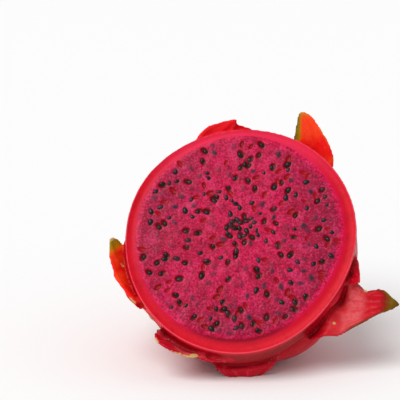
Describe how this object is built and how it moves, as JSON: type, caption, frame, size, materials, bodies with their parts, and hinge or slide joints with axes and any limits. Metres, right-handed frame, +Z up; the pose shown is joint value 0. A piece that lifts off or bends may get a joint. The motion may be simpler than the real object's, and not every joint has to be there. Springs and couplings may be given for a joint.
{
  "type": "halved red dragon fruit",
  "caption": "Stem half of a red dragon fruit cut across, resting on its skin with the seeded red flesh facing up and forward, leafy scales on the rind.",
  "frame": {"origin": "middle of the small flat spot under the rind, on the surface that the half rests on", "axes": "+Z up; -Y to the front, where the cut face looks, tilted upward; +X to the right seen from the front"},
  "size_m": [0.1103, 0.0885, 0.0976],
  "materials": {
    "peel": "waxy red-pink rind, its scales fading to orange and olive green at their tips",
    "flesh": "moist, grainy magenta-red pulp, with small glossy black seeds in the cut face",
    "stem": "dry, fibrous, straw-brown stub"
  },
  "bodies": {
    "root": {"peel": "peel", "flesh": "flesh", "stem_stub": "stem"}
  },
  "joints": []
}
